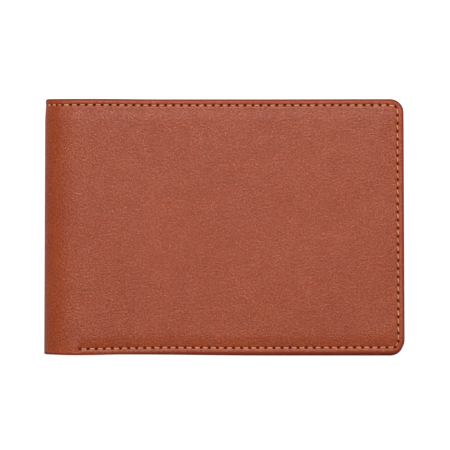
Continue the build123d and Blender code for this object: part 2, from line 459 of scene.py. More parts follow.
class Outline:
    """A rectangle with rounded corners, open at s = 0 when it goes round the fold."""

    def __init__(self, s0, s1, y0, y1, top_radius, low_radius, folded):
        self.s0, self.s1, self.y0, self.y1 = s0, s1, y0, y1
        self.folded = folded
        self.band = max(top_radius, low_radius)
        left = None if folded else square_corner
        self.sides = [("top", s1 - s0, left, top_radius), ("free", y1 - y0, top_radius, low_radius)]
        self.sides.append(("bottom", s1 - s0, low_radius, left))
        if not folded:
            self.sides.append(("stack", y1 - y0, left, left))
        self.stations = {side: lines(0, length, grid_step) for side, length, _, _ in self.sides}

    def ring(self, inset):
        """The outline's points this far inside it, clockwise from the top of the fold side."""
        points = []
        corner = np.array([self.s0, self.y1])
        for side, length, before, after in self.sides:
            outward, run = (np.array(v, float) for v in SIDES[side])
            low = 0 if before is None else max(before, inset)
            high = length - (0 if after is None else max(after, inset))
            places = np.clip(self.stations[side], low, high)
            places = np.concatenate([[low], places, [high]])
            points.extend(corner + run * t - outward * inset for t in places)
            corner = corner + run * length
            if after is not None:
                middle = corner - (run + outward) * max(after, inset)
                arc = max(after - inset, 0)
                for angle in CORNER_ANGLES:
                    points.append(middle + arc * (np.cos(angle) * outward + np.sin(angle) * run))
        if not self.folded:
            points.append(points[0])
        return np.array(points)

    def grid(self, spacing):
        """Lines of s and y inside the band of rings."""
        last = self.s1 - self.band
        if not self.folded:
            return lines(self.s0 + self.band, last, spacing), self.grid_y(spacing)
        fold_end = quarter + fold_margin
        round_fold = lines(beside_cut, fold_end, min(spacing, fold_step))
        inside = [[0.0], round_fold, lines(fold_end, last, spacing)[1:]]
        return np.concatenate(inside), self.grid_y(spacing)

    def grid_y(self, spacing):
        """Lines of y inside the band of rings."""
        return lines(self.y0 + self.band, self.y1 - self.band, spacing)


class Builder:
    """Collects a sheet's points (s, y, depth) and faces."""

    def __init__(self):
        self.points, self.faces = [], []

    def add(self, plane, depth):
        """Adds points of the plane at one depth, and returns their numbers."""
        first = sum(len(p) for p in self.points)
        self.points.append(np.column_stack([plane, np.broadcast_to(depth, len(plane))]))
        return np.arange(first, first + len(plane))

    def strip(self, a, b):
        """Quads between two rows of equally many points."""
        self.faces.extend(zip(a[:-1], a[1:], b[1:], b[:-1]))

    def zip(self, a, a_at, b, b_at):
        """Triangles between two rows whose points lie at other places along them."""
        i = j = 0
        while i < len(a) - 1 or j < len(b) - 1:
            if j == len(b) - 1 or (i < len(a) - 1 and a_at[i + 1] < b_at[j + 1] - 1e-6):
                self.faces.append((a[i], a[i + 1], b[j]))
                i += 1
            else:
                self.faces.append((a[i], b[j + 1], b[j]))
                j += 1


def travelled(points):
    """How far along a row each of its points is."""
    steps = np.linalg.norm(np.diff(points, axis=0), axis=1)
    return np.concatenate([[0], np.cumsum(steps)])


def face_side(builder, outline, insets, depth, spacing):
    """One side of a sheet: rings inwards from its edge, then a grid. Returns the outer ring and
    the points at s = 0 from top to bottom."""
    rings = [builder.add(outline.ring(inset), depth) for inset in insets]
    for a, b in zip(rings, rings[1:]):
        builder.strip(a, b)
    grid_s, grid_y = outline.grid(spacing)
    plane = np.array([(s, y) for s in grid_s for y in grid_y])
    ids = builder.add(plane, depth).reshape(len(grid_s), len(grid_y))
    for a, b in zip(ids, ids[1:]):
        builder.strip(a, b)
    border = np.concatenate([ids[:, -1], ids[-1, -2::-1], ids[-2::-1, 0]])
    if not outline.folded:
        border = np.concatenate([border, ids[0, 1:]])
    border_plane = plane[border - ids[0, 0]]
    builder.zip(rings[-1], travelled(outline.ring(outline.band)), border, travelled(border_plane))
    cut = [ring[0] for ring in rings] + list(ids[0, ::-1]) + [ring[-1] for ring in reversed(rings)]
    return rings[0], cut


def make_mesh(name, half, builder, shape_depth, marks=None):
    """The piece in its place, with a map of the unfolded sheet and named marks on its points."""
    points = np.concatenate(builder.points)
    near = np.round(points, 4)
    _, first, welded = np.unique(near, axis=0, return_index=True, return_inverse=True)
    points, welded = points[first], welded.ravel()
    faces = []
    for face in builder.faces:
        ids = [welded[i] for i in face]
        ids = [i for n, i in enumerate(ids) if i != ids[n - 1]]
        if len(ids) > 2:
            faces.append([int(i) for i in ids])
    shaped = points.copy()
    if shape_depth is not None:
        shaped[:, 2] = shape_depth(points)
    mesh = bpy.data.meshes.new(name)
    mesh.from_pydata(place(half, shaped) * MM, [], faces)
    for label, values in (marks(points) if marks else {}).items():
        set_values(mesh, label, values)
    set_values(mesh, "sheet_s", points[:, 0])
    set_values(mesh, "sheet_y", points[:, 1])
    return finish_mesh(name, mesh, half)


def set_values(mesh, label, values):
    """Gives each point of a mesh a named value."""
    attribute = mesh.attributes.new(label, "FLOAT", "POINT")
    attribute.data.foreach_set("value", np.asarray(values, np.float32))


def finish_mesh(name, mesh, half):
    """Turns faces outwards, adds the unfolded map and smooth shading, and links the object."""
    form = bmesh.new()
    form.from_mesh(mesh)
    bmesh.ops.recalc_face_normals(form, faces=form.faces)
    form.to_mesh(mesh)
    form.free()
    s, y = (np.zeros(len(mesh.vertices), np.float32) for _ in range(2))
    mesh.attributes["sheet_s"].data.foreach_get("value", s)
    mesh.attributes["sheet_y"].data.foreach_get("value", y)
    corners = np.zeros(len(mesh.loops), np.int32)
    mesh.loops.foreach_get("vertex_index", corners)
    side = 1 if half == "front" else -1
    unfolded = np.column_stack([side * s[corners], y[corners]]) * MM
    mesh.uv_layers.new(name="unfolded").data.foreach_set("uv", unfolded.astype(np.float32).ravel())
    mesh.attributes.remove(mesh.attributes["sheet_s"])
    mesh.attributes.remove(mesh.attributes["sheet_y"])
    mesh.shade_smooth()
    made = bpy.data.objects.new(name, mesh)
    bpy.context.scene.collection.objects.link(made)
    return made


def make_sheet(name, half, outline, layer, insets, spacing, relief=None, marks=None):
    """A leather or cloth sheet: its outer and inner faces at the layer's two depths, and an edge
    between them that is rounded as far in as the first inset."""
    outer, inner = layer
    edge = insets[0]
    builder = Builder()
    outer_ring, outer_cut = face_side(builder, outline, insets, outer, spacing)
    inner_insets = [insets[0], insets[-1]]
    coarse = max(spacing, grid_step)
    inner_ring, inner_cut = face_side(builder, outline, inner_insets, inner, coarse)
    rows = [outer_ring]
    for angle in EDGE_ANGLES:
        depth = (outer + inner) / 2 - (inner - outer) / 2 * np.cos(angle)
        rows.append(builder.add(outline.ring(edge * (1 - np.sin(angle))), depth))
    rows.append(inner_ring)
    for a, b in zip(rows, rows[1:]):
        builder.strip(a, b)
    if outline.folded:
        top = [ring[0] for ring in rows[1:-1]]
        bottom = [ring[-1] for ring in rows[1:-1]]
        builder.faces.append(tuple(outer_cut + bottom + inner_cut[::-1] + top[::-1]))

    def shape_depth(points):
        """The points' depths with the sheet's relief."""
        share = (points[:, 2] - outer) / (inner - outer)
        return points[:, 2] + relief(points[:, :2], share)

    made = make_mesh(name, half, builder, shape_depth if relief else None, marks)
    if outline.folded:
        sharpen_cut(made)
    return made


def sharpen_cut(piece):
    """Keeps the face that closes the sheet at the fold's middle out of the smooth shading."""
    mesh = piece.data
    largest = max(mesh.polygons, key=lambda face: len(face.vertices))
    largest.use_smooth = False
    rim = set(largest.edge_keys)
    for edge in mesh.edges:
        if edge.key in rim:
            edge.use_edge_sharp = True


# Materials.


def feed(socket, value):
    """Links a node's input to an output, or sets it to a value."""
    if isinstance(value, bpy.types.NodeSocket):
        socket.id_data.links.new(value, socket)
    else:
        socket.default_value = value


def tree_of(name):
    """A new material, its shader, and a helper that adds a node."""
    material = bpy.data.materials.new(name)
    material.use_nodes = True
    tree = material.node_tree
    tree.nodes.clear()
    output = tree.nodes.new("ShaderNodeOutputMaterial")
    shader = tree.nodes.new("ShaderNodeBsdfPrincipled")
    feed(output.inputs["Surface"], shader.outputs["BSDF"])

    def add(kind, inputs=None, **settings):
        """A new node with its settings, and with its inputs linked or set."""
        node = tree.nodes.new(kind)
        for key, value in settings.items():
            setattr(node, key, value)
        for key, value in (inputs or {}).items():
            feed(node.inputs[key], value)
        return node

    return material, shader, add


def unfolded_map(add, stretch=(1, 1, 1)):
    """The unfolded sheet's coordinates in millimetres."""
    uv = add("ShaderNodeUVMap", uv_map="unfolded").outputs["UV"]
    scale = [1 / MM * value for value in stretch]
    return add("ShaderNodeMapping", {"Vector": uv, "Scale": scale}).outputs["Vector"]


def noise(add, vector, size, detail=3, roughness=0.5, distortion=0):
    """Noise between about 0 and 1 with spots of this size in millimetres."""
    inputs = {"Vector": vector, "Scale": 1 / size, "Detail": detail, "Roughness": roughness}
    inputs["Distortion"] = distortion
    return add("ShaderNodeTexNoise", inputs, noise_dimensions="3D").outputs["Fac"]


def spread(add, value, low, high, to_low=0, to_high=1):
    """A value's range from low to high, stretched to another range."""
    inputs = {"Value": value, "From Min": low, "From Max": high}
    inputs.update({"To Min": to_low, "To Max": to_high})
    return add("ShaderNodeMapRange", inputs).outputs["Result"]


def maths(add, operation, *values):
    """The result of one operation on sockets or numbers."""
    node = add("ShaderNodeMath", operation=operation)
    for socket, value in zip(node.inputs, values):
        feed(socket, value)
    return node.outputs[0]


def part_of(add, value, share):
    """A value times a share."""
    return maths(add, "MULTIPLY", value, share)


def inverse(add, value):
    """1 where the value is 0, and 0 where it is 1."""
    return maths(add, "SUBTRACT", 1, value)


def mix(add, share, first, second):
    """Two colours mixed by a share."""
    first, second = [(*c, 1) if isinstance(c, tuple) else c for c in (first, second)]
    given = {"Factor_Float": share, "A_Color": first, "B_Color": second}
    node = add("ShaderNodeMix", data_type="RGBA", blend_type="MIX")
    for socket in node.inputs:
        if socket.identifier in given:
            feed(socket, given[socket.identifier])
    return next(o for o in node.outputs if o.identifier == "Result_Color")


def mark(add, name):
    """A named value that the mesh's points carry."""
    return add("ShaderNodeAttribute", attribute_name=name).outputs["Fac"]


def set_bump(add, shader, height, strength, distance):
    """Gives a shader a fine relief that is this many millimetres high."""
    inputs = {"Height": height, "Strength": strength, "Distance": distance * MM}
    bump = add("ShaderNodeBump", inputs)
    feed(shader.inputs["Normal"], bump.outputs["Normal"])


# Colours.
tan = (0.420, 0.061, 0.005)
tan_light = (0.480, 0.080, 0.012)
tan_dark = (0.225, 0.023, 0.001)
tan_pale = (0.600, 0.200, 0.120)
burnished = (0.290, 0.026, 0.003)
# hole_shade_brown is painted shade: the near-black drawn inside each needle hole.
hole_shade_brown = (0.060, 0.0005, 0.0002)
# The raw back's own paler colour, made paler still as a painted highlight along the rim.
raw_and_lit_leather = (0.72, 0.37, 0.23)
thread_tan, thread_light = (0.65, 0.235, 0.092), (0.83, 0.34, 0.155)
# thread_shade and thread_dive_shade are painted shade: between the fibres, and where a stitch dives into its hole.
thread_shade, thread_dive_shade = (0.34, 0.11, 0.04), (0.16, 0.035, 0.012)
cloth_brown, cloth_light = (0.085, 0.026, 0.014), (0.135, 0.044, 0.024)
cloth_shade, cloth_warp = (0.022, 0.008, 0.005), (0.17, 0.068, 0.042)

# The sizes of the leather's patterns, in millimetres.
cloud_size = 26
mottling_size = 4.5
speckle_size = 0.72
pale_size = 0.50
grain_cell = 0.62
pore_size = 0.34
# The painted highlight on the crests comes in patches of this size.
highlight_patch_size = 1.2
edge_noise_size = 0.5
leather_relief = 0.07


def leather_pattern(add):
    """The leather's patterns, each between 0 and 1, and the unevenness of its painted edge."""
    flat = unfolded_map(add)
    cell_inputs = {"Vector": flat, "Scale": 1 / grain_cell, "Randomness": 1.0}
    cells = add("ShaderNodeTexVoronoi", cell_inputs, feature="DISTANCE_TO_EDGE")
    return {
        "clouds": spread(add, noise(add, flat, cloud_size, 2, 0.5, 0.6), 0.3, 0.7),
        "mottling": spread(add, noise(add, flat, mottling_size, 4, 0.6, 0.5), 0.3, 0.7),
        "speckle": spread(add, noise(add, flat, speckle_size, 2, 0.6), 0.36, 0.64),
        "pale": spread(add, noise(add, flat, pale_size, 2, 0.6, 0.3), 0.52, 0.70),
        "grain": spread(add, cells.outputs["Distance"], 0.0, 0.16),
        "pores": spread(add, noise(add, flat, pore_size, 2, 0.5), 0.34, 0.5),
        "wear": spread(add, noise(add, flat, highlight_patch_size, 3), 0.35, 0.65),
        "edge": spread(add, noise(add, flat, edge_noise_size, 3), 0.3, 0.7, -0.12, 0.12),
    }


def leather_tone(add, pattern, shade_round_holes, painted):
    """The leather's colour: mottled tan, rubbed crests, stained holes and painted edges."""
    tone = mix(add, pattern["clouds"], tan, tan_light)
    for name, share in (("mottling", 0.36), ("speckle", 0.62)):
        tone = mix(add, part_of(add, inverse(add, pattern[name]), share), tone, tan_dark)
    tone = mix(add, part_of(add, pattern["pale"], 0.55), tone, tan_pale)
    for name, share in (("grain", 0.18), ("pores", 0.42)):
        tone = mix(add, part_of(add, inverse(add, pattern[name]), share), tone, tan_dark)
    # A painted highlight: the bead's crest is drawn lighter, in patches.
    wear = maths(add, "MULTIPLY", mark(add, "crest"), pattern["wear"])
    tone = mix(add, part_of(add, wear, 0.55), tone, tan_light)
    # Painted shade: darker round each needle hole, and near black in the hole itself.
    tone = mix(add, part_of(add, shade_round_holes, 0.75), tone, burnished)
    tone = mix(add, spread(add, mark(add, "hole"), 0.3, 0.75), tone, hole_shade_brown)
    # The raw back at the rim: partly its own paler colour, partly a painted highlight.
    tone = mix(add, mark(add, "raw"), tone, raw_and_lit_leather)
    return mix(add, painted, tone, burnished)
# The leather's colour: mottled tan, a painted highlight on the crests, painted shade in and round the needle holes,
# the raw back partly painted pale as a highlight, and painted edges.


def leather_roughness(add, pattern, shade_round_holes, painted):
    """Smoothest where the mottling is light, and dull on paint and round needle holes."""
    rough = spread(add, pattern["mottling"], 0, 1, 0.42, 0.31)
    rough = maths(add, "ADD", rough, spread(add, pattern["grain"], 0, 1, 0.06, 0.0))
    rough = maths(add, "ADD", rough, part_of(add, painted, 0.40))
    return maths(add, "ADD", rough, shade_round_holes)


def leather_height(add, pattern, painted):
    """The leather's fine relief, mostly smoothed away under paint."""
    height = part_of(add, pattern["grain"], 0.5)
    height = maths(add, "ADD", height, part_of(add, pattern["speckle"], 0.6))
    height = maths(add, "ADD", height, part_of(add, pattern["pores"], 0.4))
    return maths(add, "MULTIPLY", height, inverse(add, part_of(add, painted, 0.8)))


def leather():
    """Fine-grained tan leather with cloudy colour, pores, a painted highlight on the crests, painted shade in the
    needle holes and dark edges.
    """
    material, shader, add = tree_of("tan_leather")
    pattern = leather_pattern(add)
    # The painted shade round the needle holes, which also dulls the leather there.
    shade_round_holes = spread(add, mark(add, "hole"), 0.03, 0.4)
    uneven = maths(add, "MULTIPLY", pattern["edge"], mark(add, "edge"))
    painted = spread(add, maths(add, "ADD", mark(add, "edge"), uneven), 0.3, 0.7)
    tone = leather_tone(add, pattern, shade_round_holes, painted)
    feed(shader.inputs["Base Color"], tone)
    rough = leather_roughness(add, pattern, shade_round_holes, painted)
    feed(shader.inputs["Roughness"], rough)
    feed(shader.inputs["Specular IOR Level"], 0.46)
    set_bump(add, shader, leather_height(add, pattern, painted), 0.9, leather_relief)
    return material


def thread_material():
    """Waxed light tan thread with fine fibres, with painted shade between the fibres and where each stitch dives into
    the leather.
    """
    material, shader, add = tree_of("waxed_thread")
    flat = unfolded_map(add)
    fibre = spread(add, noise(add, flat, 0.16, 3, 0.6), 0.3, 0.7)
    patches = spread(add, noise(add, flat, 3.0, 2), 0.35, 0.65)
    tone = mix(add, patches, thread_tan, thread_light)
    tone = mix(add, part_of(add, inverse(add, fibre), 0.35), tone, thread_shade)
    # Painted shade where the stitch dives into its hole.
    tone = mix(add, mark(add, "hollow"), tone, thread_dive_shade)
    feed(shader.inputs["Base Color"], tone)
    feed(shader.inputs["Roughness"], spread(add, fibre, 0, 1, 0.62, 0.48))
    set_bump(add, shader, fibre, 0.4, 0.03)
    return material


def twill(add, yarn):
    """Where a twill's warp lies on top, and how high its yarns stand, both from 0 to 1."""
    split = add("ShaderNodeSeparateXYZ", {"Vector": unfolded_map(add)})
    across, along = split.outputs["X"], split.outputs["Y"]
    warp = maths(add, "SINE", part_of(add, across, 2 * pi / yarn))
    weft = maths(add, "SINE", part_of(add, along, 2 * pi / yarn))
    diagonal = maths(add, "SINE", part_of(add, maths(add, "ADD", across, along), pi / yarn))
    over = spread(add, diagonal, -0.3, 0.3)
    warp_seen = maths(add, "MULTIPLY", over, warp)
    weft_seen = maths(add, "MULTIPLY", inverse(add, over), weft)
    return over, spread(add, maths(add, "ADD", warp_seen, weft_seen), -1, 1)


def lining_material():
    """Dark brown twill cloth with threads about a quarter of a millimetre wide."""
    material, shader, add = tree_of("lining_twill")
    over, yarns = twill(add, 0.27)
    slubs = spread(add, noise(add, unfolded_map(add, (1, 0.12, 1)), 0.5, 3), 0.3, 0.7)
    tone = mix(add, slubs, cloth_brown, cloth_light)
    tone = mix(add, part_of(add, inverse(add, yarns), 0.6), tone, cloth_shade)
    tone = mix(add, part_of(add, over, 0.25), tone, cloth_warp)
    feed(shader.inputs["Base Color"], tone)
    feed(shader.inputs["Roughness"], spread(add, yarns, 0, 1, 0.85, 0.68))
    feed(shader.inputs["Specular IOR Level"], 0.15)
    set_bump(add, shader, yarns, 0.5, 0.06)
    return material


tan_leather = leather()
waxed_thread = thread_material()
lining_twill = lining_material()


# Pieces.

BODY = {"rear": "rear_half", "front": "front_half"}

# The cover's relief. A depth or height comes with where it is greatest and how wide it is.
cover_step = 0.8  # the distance between the cover's points
groove_depth, groove_width = 0.17, 0.40  # along the stitches
swell_height, swell_place, swell_width = 0.03, 1.0, 0.45  # beside the groove
bead_height, bead_place, bead_width = 0.045, 1.15, 0.4  # from the edge
crest_highlight_width = 0.35  # the width of the painted highlight along the top of the bead
hole_depth = 0.7
hole_reach = (0.40, 0.24)  # a needle hole's size, along and across its row
# How far the painted shade reaches round a needle hole, along and across its row.
hole_shade_reach = (0.54, 0.32)

# The pocket stack's relief: its seams' grooves, and the crease below a pocket's top edge.
panel_groove, panel_groove_width = 0.16, 0.42
crease_depth, crease_place, crease_width = 0.09, 1.7, 0.22
panel_highlight = (0.6, 0.3)  # where a painted highlight runs along its edge, and how widely

# How far in each sheet's edge is rounded, and how far in it is painted.
cover_edge, wall_edge, panel_edge, cloth_edge = 0.55, 0.3, 0.28, 0.12
painted_edge = 0.62  # on the cover's face
raw_rim = 0.27  # the paint reaches this much less far onto its back
fade_out, fade_in = 0.12, 0.16  # the paint fades over this much on both sides

# How far inside its outline each sheet has a ring of points, closest round its seam.
COVER_INSETS = [cover_edge, 0.7, 0.85, 1.0, 1.15, 1.3, 1.45, 1.58, 1.7, 1.8, 1.9, 2.0, 2.1, 2.2]
COVER_INSETS += [2.3, 2.42, 2.56, 2.75, 3.0, 3.3, 3.7]
LINING_INSETS = [cloth_edge, 3.0]
WALL_LINING_INSETS = [cloth_edge, 1.5, 2.9, 3.1, 3.5]
WALL_INSETS = [wall_edge, 0.6, 1.0, 1.6, 2.4, 3.4]
PANEL_INSETS = [panel_edge, 0.5, 0.8, 1.05, 1.25, 1.45, 1.6, 1.75, 1.95, 2.2, 2.6, 3.2]
ROUND_HOLE = np.array([-0.7, -0.42, -0.2, 0, 0.2, 0.42, 0.7])  # points on both sides of a hole


def bend_with_fold(piece, half, inner_depth):
    """The piece follows its half and turns smoothly into the middle of the fold."""
    flat_end = [bend_x, middle_y, inner_depth]
    fold_end = [bend_x - (fold_radius - inner_depth), middle_y, fold_radius]
    if half == "rear":
        start, end = [tuple(np.array(p) * MM) for p in (flat_end, fold_end)]
        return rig.blend(piece, "rear_half", "fold_strip", start=start, end=end)
    flat_end[2] = closed_thickness - inner_depth
    start, end = [tuple(np.array(p) * MM) for p in (fold_end, flat_end)]
    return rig.blend(piece, "fold_strip", "front_half", start=start, end=end)


def outline_marks(outline, painted, holes=None, highlight_bands=(), inside=None):
    """Where a leather sheet's edge is painted, where its needle holes are, which take painted shade, and where its
    crest takes a painted highlight. The depth of its inside, if given, is where its raw back shows, partly painted
    pale as a highlight."""

    def marks(points):
        """The named values of a sheet's points."""
        plane = points[:, :2]
        inset = edge_distance(outline, plane)
        back = np.zeros(len(plane)) if inside is None else ramp(points[:, 2] / inside, 0.6, 0.9)
        reach = painted - raw_rim * back
        found = {"edge": 1 - ramp(inset, reach - fade_out, reach + fade_in)}
        # The raw back, partly painted pale as a highlight.
        found["raw"] = back * (1 - found["edge"])
        found["hole"] = back * 0 if holes is None else pits(plane, holes, *hole_shade_reach)
        # The bands that take a painted highlight.
        crest = np.zeros(len(plane))
        for middle, width in highlight_bands:
            crest = np.maximum(crest, hump(inset, middle, width))
        found["crest"] = crest
        return found

    return marks


def edge_distance(outline, plane):
    """How far inside the outline each point lies."""
    s, y = plane.T
    right, top, low = outline.s1 - s, outline.y1 - y, y - outline.y0
    nearest = np.minimum(np.minimum(right, top), low)
    if not outline.folded:
        nearest = np.minimum(nearest, s - outline.s0)
    for radius, corner_top in ((outline.sides[0][3], True), (outline.sides[1][3], False)):
        up = top if corner_top else low
        in_corner = (right < radius) & (up < radius)
        off = radius - np.hypot(radius - right, radius - up)
        nearest = np.where(in_corner, off, nearest)
    return nearest


def phased(length, first, step):
    """Places along a side, closer together round each needle hole."""
    found = [0, length]
    for hole in np.arange(first, length + step, step):
        found.extend([*(hole + ROUND_HOLE), hole + step / 2])
    return np.array(sorted(t for t in found if 0 <= t <= length))


def cover(half):
    """The leather outside of one half and of its half of the fold."""
    outline = Outline(0, free_s, bottom_y, top_y, corner_radius, corner_radius, True)
    side_pitch = side_holes[0][1] - side_holes[1][1]
    bottom_pitch = bottom_holes[0][0] - bottom_holes[1][0]
    outline.stations["top"] = phased(free_s, rim_pitch / 2, rim_pitch)
    outline.stations["free"] = phased(height, top_y - side_start[1], side_pitch)
    first = (free_s - bottom_holes[0][0]) % bottom_pitch
    outline.stations["bottom"] = phased(free_s, first, bottom_pitch)

    def relief(plane, share):
        """The stitch groove and its holes, the leather's swell beside it, and the edge bead."""
        line = distance_to(outer_paths, plane)
        inset = edge_distance(outline, plane)
        upper = ramp(plane[:, 1], 0, 2)
        sewn = np.maximum(upper, ramp(plane[:, 0], foot_s - 1.5, foot_s + 0.5))
        groove = groove_depth * hump(line, 0, groove_width)
        bead = bead_height * hump(inset, bead_place, bead_width) * sewn
        swell = swell_height * hump(line, swell_place, swell_width)
        holes = hole_depth * pits(plane, outer_holes, *hole_reach)
        return (1 - share) * (groove - bead - swell + holes)

    highlight_bands = [(bead_place, crest_highlight_width)]
    marks = outline_marks(outline, painted_edge, outer_holes, highlight_bands, lining_at)
    name, layer = f"cover_{half}", (0, lining_at)
    piece = make_sheet(name, half, outline, layer, COVER_INSETS, cover_step, relief, marks)
    piece.data.materials.append(tan_leather)
    bend_with_fold(piece, half, lining_at)
    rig.replaces(piece, f"{half}_cover", "fold_cover")
    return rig.slot(piece, "tan_leather")


def lining(half):
    """The cloth inside the cover."""
    right, low, high = free_s - layer_inset, bottom_y + layer_inset, top_y - layer_inset
    outline = Outline(0, right, low, high, lining_corner_radius, lining_corner_radius, True)
    layer = (lining_at, hem_at)
    piece = make_sheet(f"lining_{half}", half, outline, layer, LINING_INSETS, grid_step)
    piece.data.materials.append(lining_twill)
    bend_with_fold(piece, half, hem_at)
    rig.replaces(piece, f"{half}_lining", "fold_lining")
    flat = ((outline.s1 - outline.s0) * MM, (outline.y1 - outline.y0) * MM)
    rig.sheet(piece, flat=flat, held="stretched", rests_on=[f"cover_{half}"])
    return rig.slot(piece, "lining_cloth")


def wall_outline():
    """The outline of the inner wall and of its cloth."""
    right, low = free_s - layer_inset, bottom_y + layer_inset
    return Outline(0, right, low, wall_top_y, wall_top_radius, wall_low_radius, True)


def wall_lining(half):
    """The cloth on the inner wall, doubled along the sewn edges."""
    outline = wall_outline()

    def relief(plane, share):
        """The hem's second layer."""
        by_side = outline.s1 - plane[:, 0] < hem_width
        by_bottom = plane[:, 1] - outline.y0 < hem_width
        hem = by_side | (by_bottom & (plane[:, 0] > foot_s - 2))
        return -(1 - share) * (wall_lining_at - hem_at) * hem

    name, layer = f"wall_lining_{half}", (wall_lining_at, wall_at)
    piece = make_sheet(name, half, outline, layer, WALL_LINING_INSETS, grid_step, relief)
    piece.data.materials.append(lining_twill)
    bend_with_fold(piece, half, wall_at)
    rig.replaces(piece, f"{half}_wall_lining", "fold_wall_lining")
    flat = ((outline.s1 - outline.s0) * MM, (outline.y1 - outline.y0) * MM)
    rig.sheet(piece, flat=flat, held="stretched", rests_on=[f"inner_wall_{half}"])
    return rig.slot(piece, "lining_cloth")


def inner_wall(half):
    """The leather wall that carries the pockets."""
    outline = wall_outline()
    marks = outline_marks(outline, wall_edge)
    name, layer = f"inner_wall_{half}", (wall_at, slip_panel_at)
    piece = make_sheet(name, half, outline, layer, WALL_INSETS, grid_step, None, marks)
    piece.data.materials.append(tan_leather)
    bend_with_fold(piece, half, slip_panel_at)
    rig.replaces(piece, f"{half}_inner_wall", "fold_inner_wall")
    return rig.slot(piece, "tan_leather")


# The pocket stack's steps: where each one begins and ends, and how high its face lies.
stack_seam_s = stack_s + panel_seam_inset
wall_seam_y = wall_top_y - panel_seam_inset
step_edges = [wall_seam_y, *[high[1] for low, high in pocket_boxes], bottom_seam_y]
step_faces = [slip_panel_face, *[high[2] for low, high in pocket_boxes]]


def stack_panel(half, number):
    """A panel of the pocket stack: 0 is the slip panel, 1 to 3 are the card pockets."""
    name = f"card_pocket_{number}" if number else "slip_panel"
    low, high = node_box(f"rear_{name}")
    radius = pocket_top_radius if number else wall_top_radius
    right, bottom = free_s - layer_inset, bottom_y + layer_inset
    outline = Outline(stack_s, right, bottom, high[1], radius, wall_low_radius, False)
    seams = [[(side_seam_s, high[1]), (side_seam_s, bottom_seam_y), (stack_s, bottom_seam_y)]]
    seams.append([(stack_seam_s, high[1]), (stack_seam_s, bottom_seam_y)])
    if number == 0:
        seams.append([(stack_seam_s, wall_seam_y), (side_seam_s, wall_seam_y)])

    def relief(plane, share):
        """The seams' grooves, and the crease below a pocket's top edge."""
        sunk = panel_groove * hump(distance_to(seams, plane), 0, panel_groove_width)
        if number:
            sunk = sunk + crease_depth * hump(high[1] - plane[:, 1], crease_place, crease_width)
        return -(1 - share) * sunk

    marks = outline_marks(outline, panel_edge, None, [panel_highlight])
    own, layer = f"{name}_{half}", (high[2], low[2])
    piece = make_sheet(own, half, outline, layer, PANEL_INSETS, grid_step, relief, marks)
    piece.data.materials.append(tan_leather)
    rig.ride(piece, BODY[half])
    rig.replaces(piece, f"{half}_{name}")
    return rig.slot(piece, "tan_leather")


# Threads.

RINGS = np.linspace(-1, 1, 13)  # a stitch's rings of points, from end to end
PLY = np.linspace(0, 2 * pi, 13)[:-1]  # the points' angles in a ring
TWIST = 1.5  # turns of the two plies along a stitch
half_width, half_height = 0.29, 0.25  # of the thread
thread_sink = 0.09  # its middle lies this far below the level given for it
dive_depth = 0.75  # a stitch's ends go this deep into the leather
dive_reach = 0.18  # and this far along
outer_level = 0.13  # the depth given for the stitches outside
inner_sink = 0.06  # the level of those inside lies this far below their panel's face
rim_slant, side_slant, bottom_slant = 0.03, 0.2, -0.04
step_slant, inner_slant = 0.15, 0.04


def stitch_points(start, end, face, outward, draw, slant):
    """A stitch's tube of points: two twisted plies that dive into the leather at both ends."""
    start, end = np.array(start), np.array(end)
    middle, reach = (start + end) / 2, (end - start) / 2
    length = np.linalg.norm(reach) * 2
    run = reach / np.linalg.norm(reach)
    side = np.array([-run[1], run[0]])
    lean = np.tan(slant + draw.normal(0, 0.035))
    phase = draw.uniform(0, 2 * pi)
    fat = draw.uniform(0.93, 1.05)
    points = []
    for t in RINGS:
        along = t * (length / 2 + dive_reach)
        dive = dive_depth * abs(t) ** 7
        shrink = 1 - 0.25 * abs(t) ** 5
        centre = middle + run * along + side * along * lean
        twist = phase + TWIST * pi * t
        lobe = 0.84 + 0.16 * np.cos(2 * (PLY - twist))
        wide = half_width * fat * shrink * lobe * np.cos(PLY)
        tall = half_height * fat * shrink * lobe * np.sin(PLY)
        plane = centre + wide[:, None] * side
        depth = face - outward * (tall - thread_sink - dive)
        points.append(np.column_stack([plane, depth]))
    return np.concatenate(points)


def thread(name, half, stitches):
    """A row of stitches as one mesh. Each stitch is (start, end, face, outward, slant)."""
    draw = np.random.default_rng(len(stitches) * 31 + len(name))
    rings, sides = len(RINGS), len(PLY)
    points, faces, hollow = [], [], []
    for start, end, face, outward, slant in stitches:
        first = len(points) * rings * sides
        points.append(stitch_points(start, end, face, outward, draw, slant))
        # Painted shade at both ends of the stitch, where it dives into the leather.
        hollow.append(np.repeat(ramp(np.abs(RINGS), 0.72, 1.0), sides))
        for r in range(rings - 1):
            for k in range(sides):
                a = first + r * sides + k
                b = first + r * sides + (k + 1) % sides
                faces.append((a, b, b + sides, a + sides))
        faces.append(tuple(range(first, first + sides)))
        last = first + (rings - 1) * sides
        faces.append(tuple(range(last, last + sides)))
    points = np.concatenate(points)
    mesh = bpy.data.meshes.new(name)
    mesh.from_pydata(place(half, points) * MM, [], faces)
    set_values(mesh, "hollow", np.concatenate(hollow))
    set_values(mesh, "sheet_s", points[:, 0])
    set_values(mesh, "sheet_y", points[:, 1])
    made = finish_mesh(name, mesh, half)
    made.data.materials.append(waxed_thread)
    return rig.slot(made, "thread")


def rim_thread(half):
    """The top row of one half. The stitch in the fold's middle goes with the rear half's row."""
    own = rim_stitches if half == "rear" else rim_stitches[1:]
    stitches = [(a, b, outer_level, 1, rim_slant) for a, b in own]
    piece = thread(f"rim_thread_{half}", half, stitches)
    bend_with_fold(piece, half, lining_at)
    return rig.replaces(piece, f"{half}_rim_thread", "fold_rim_thread")


